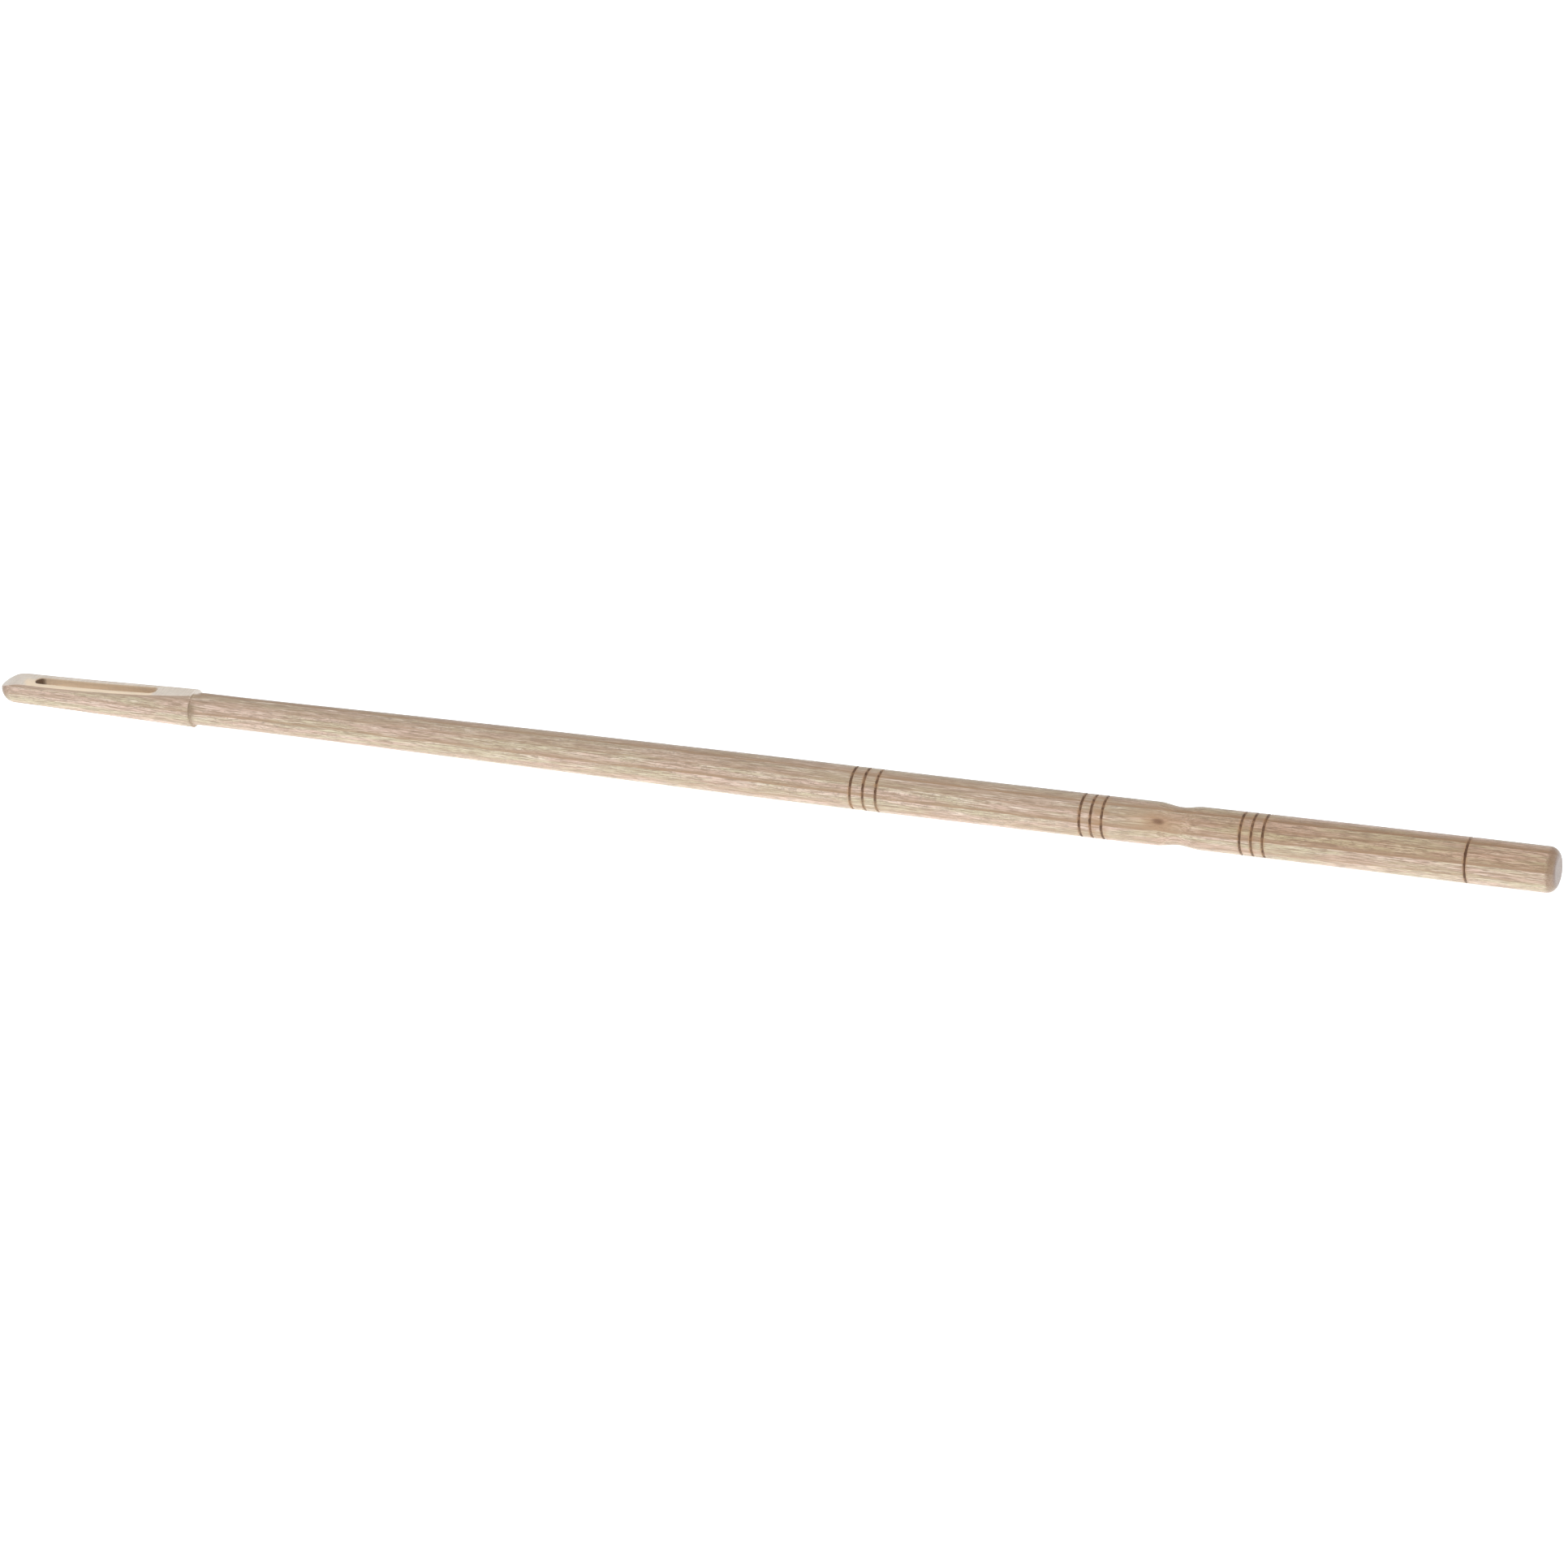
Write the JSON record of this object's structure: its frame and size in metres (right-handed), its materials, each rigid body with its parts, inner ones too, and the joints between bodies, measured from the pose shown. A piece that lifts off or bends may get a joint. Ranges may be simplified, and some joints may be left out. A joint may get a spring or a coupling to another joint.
{
  "type": "flute cleaning rod",
  "caption": "Turned wooden cleaning rod for a flute, with a slotted eye for a cloth, burnt rings, a waisted handle and a gauge line near its end.",
  "frame": {"origin": "centre of the flat face at the handle end", "axes": "+X along the rod, out of the handle end; the eye is at the far end, at negative X. Z is the way the slot of the eye runs through, normal to its two flats"},
  "size_m": [0.345, 0.0092, 0.0092],
  "materials": {
    "wood": "unfinished, sanded pale hardwood with fine burnt rings"
  },
  "bodies": {
    "root": {"cleaning_rod": "wood"}
  },
  "joints": []
}
